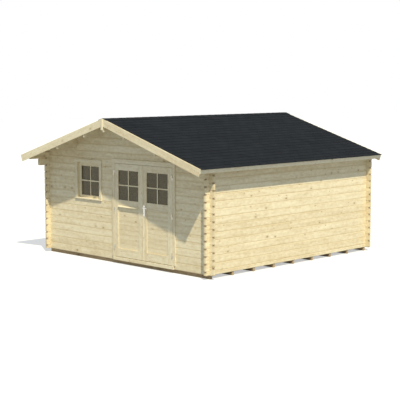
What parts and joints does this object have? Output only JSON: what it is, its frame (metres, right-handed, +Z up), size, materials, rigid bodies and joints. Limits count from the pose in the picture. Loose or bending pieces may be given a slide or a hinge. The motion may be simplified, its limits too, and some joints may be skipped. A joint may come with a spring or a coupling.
{
  "type": "log-built garden shed",
  "caption": "Log-built wooden garden shed with a shallow gable roof, deep front overhang, glazed double doors that swing out and a fixed window.",
  "frame": {"origin": "on the ground at the centre of the base, under the middle bearer", "axes": "+X to the right along the front wall, +Y from the front wall to the back, +Z up"},
  "size_m": [5.3918, 5.571, 2.9351],
  "materials": {
    "wall_logs": "planed",
    "bearers": "preservative brown",
    "floor_boards": "planed",
    "roof_timbers": "planed",
    "roof_boards": "planed",
    "shingles": "mineral grit on bitumen felt",
    "edge_boards": "planed",
    "door_joinery": "planed",
    "door_panels": "planed",
    "window_joinery": "planed",
    "glass": "clear",
    "fittings": "satin"
  },
  "bodies": {
    "shed": {"apex_covers": "edge_boards", "back_bargeboards": "edge_boards", "back_wall_even_logs": "wall_logs", "back_wall_odd_logs": "wall_logs", "door_head": "door_joinery", "door_jambs": "door_joinery", "door_threshold": "door_joinery", "door_trims": "door_joinery", "eave_fascias": "edge_boards", "floor_bearers": "bearers", "floor_deck": "floor_boards", "frame_hinges": "fittings", "front_bargeboards": "edge_boards", "front_wall_even_logs": "wall_logs", "front_wall_odd_logs": "wall_logs", "left_wall_even_logs": "wall_logs", "left_wall_odd_logs": "wall_logs", "purlins": "roof_timbers", "ridge_beam": "roof_timbers", "ridge_cap": "shingles", "right_wall_even_logs": "wall_logs", "right_wall_odd_logs": "wall_logs", "roof_boards_left": "roof_boards", "roof_boards_right": "roof_boards", "shingles_left": "shingles", "shingles_right": "shingles", "window_frame": "window_joinery", "window_glass": "glass", "window_sash": "window_joinery", "window_sill": "window_joinery", "window_trims": "window_joinery"},
    "left_door": {"left_door_drip_rail": "door_joinery", "left_door_frame": "door_joinery", "left_door_glass": "glass", "left_door_hinges": "fittings", "left_door_panel": "door_panels"},
    "right_door": {"right_door_drip_rail": "door_joinery", "right_door_frame": "door_joinery", "right_door_glass": "glass", "right_door_hinges": "fittings", "right_door_panel": "door_panels", "meeting_batten": "door_joinery", "handle_plates": "fittings"},
    "door_lever": {"door_lever": "fittings"}
  },
  "joints": [
    {"name": "left_door_hinge", "type": "hinge", "parent": "shed", "child": "left_door", "pos_m": [-0.2361, -2.48, 0.15], "axis": [0, 0, -1], "range_deg": [0, 110]},
    {"name": "right_door_hinge", "type": "hinge", "parent": "shed", "child": "right_door", "pos_m": [1.4281, -2.48, 0.15], "axis": [0, 0, 1], "range_deg": [0, 110]},
    {"name": "lever_spindle", "type": "hinge", "parent": "right_door", "child": "door_lever", "pos_m": [0.6475, -2.47, 1.195], "axis": [0, 1, 0], "range_deg": [0, 40], "stiffness_Nm_per_rad": 2, "springref_deg": -20.05}
  ]
}
